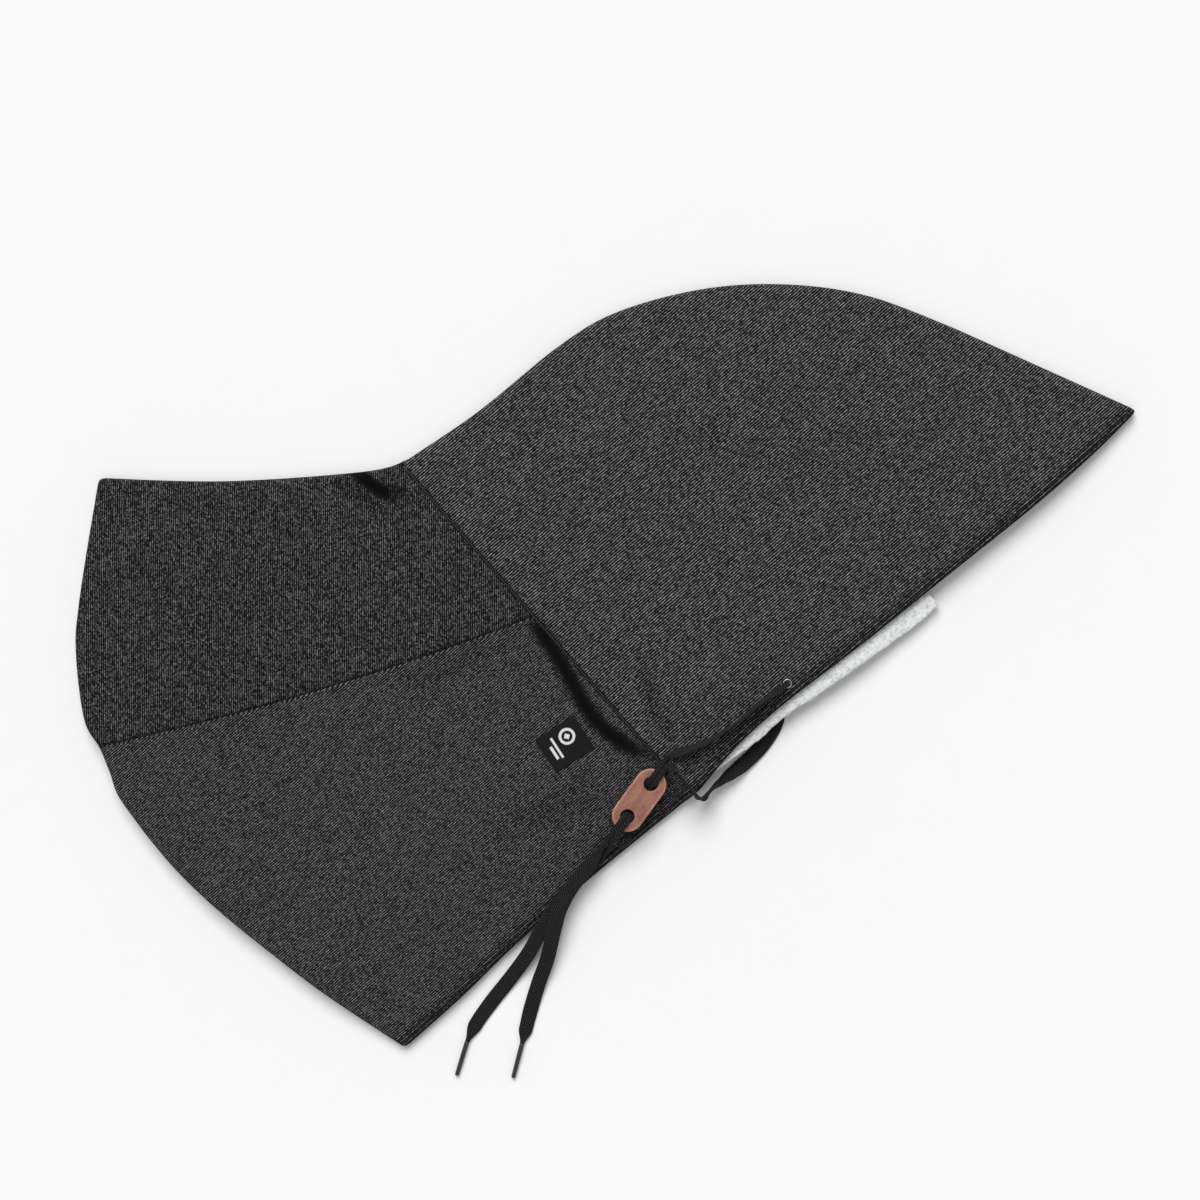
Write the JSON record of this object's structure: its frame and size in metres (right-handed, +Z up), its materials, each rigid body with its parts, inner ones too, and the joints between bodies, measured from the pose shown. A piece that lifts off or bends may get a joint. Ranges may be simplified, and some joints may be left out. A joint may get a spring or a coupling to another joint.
{
  "type": "hooded balaclava",
  "caption": "Hooded balaclava laid flat: lined jersey hood with drawcord and leather toggle, folded fleece face mask and closed neck yoke.",
  "frame": {"origin": "on the table, under the middle of the garment's outline without its drawcord", "axes": "+X runs up the face opening to the crown tip, +Y to the back of the head, +Z up off the table; the wearer's right side lies uppermost"},
  "size_m": [0.6162, 0.4367, 0.0272],
  "materials": {
    "jersey": "charcoal heather jersey, fine ribbed wales, matt",
    "jersey_back": "the same heather jersey, cut on another grain, a little darker",
    "fleece": "brushed light grey heather fleece, soft nap",
    "seam_thread": "charcoal stitched seam edge",
    "lace": "flat woven charcoal-brown lace",
    "toggle_leather": "tan leather with burnished edges",
    "eyelet_metal": "polished dark nickel",
    "aglet_film": "glossy dark wrapped film",
    "label_weave": "black damask woven label with a plain light motif"
  },
  "bodies": {
    "root": {"hood_shell_right": "jersey", "hood_shell_left": "jersey", "hood_lining_right": "fleece", "hood_lining_left": "fleece", "crown_seam": "seam_thread", "face_casing_right": "jersey", "face_casing_left": "jersey", "eyelet_right": "eyelet_metal", "eyelet_left": "eyelet_metal", "face_mask": "fleece", "yoke_front_right": "jersey", "yoke_front_left": "jersey", "yoke_back_right": "jersey_back", "yoke_back_left": "jersey_back", "yoke_lining_right": "fleece", "yoke_lining_left": "fleece", "shoulder_seam_right": "seam_thread", "shoulder_seam_left": "seam_thread", "neck_seam_right": "seam_thread", "neck_seam_left": "seam_thread", "front_seam": "seam_thread", "back_seam": "seam_thread", "label": "label_weave", "casing_lace": "lace", "lace_run_right": "lace", "lace_run_left": "lace", "lace_tail_right": "lace", "lace_tail_left": "lace", "aglet_right": "aglet_film", "aglet_left": "aglet_film"},
    "toggle_body": {"toggle": "toggle_leather", "lace_strand_right": "lace", "lace_strand_left": "lace"}
  },
  "joints": [
    {"name": "toggle_slide", "type": "slide", "parent": "root", "child": "toggle_body", "axis": [-0.9739, -0.227, 0], "range_m": [-0.002, 0.05], "deforming": ["lace_run_right", "lace_run_left", "lace_tail_right", "lace_tail_left"]}
  ]
}
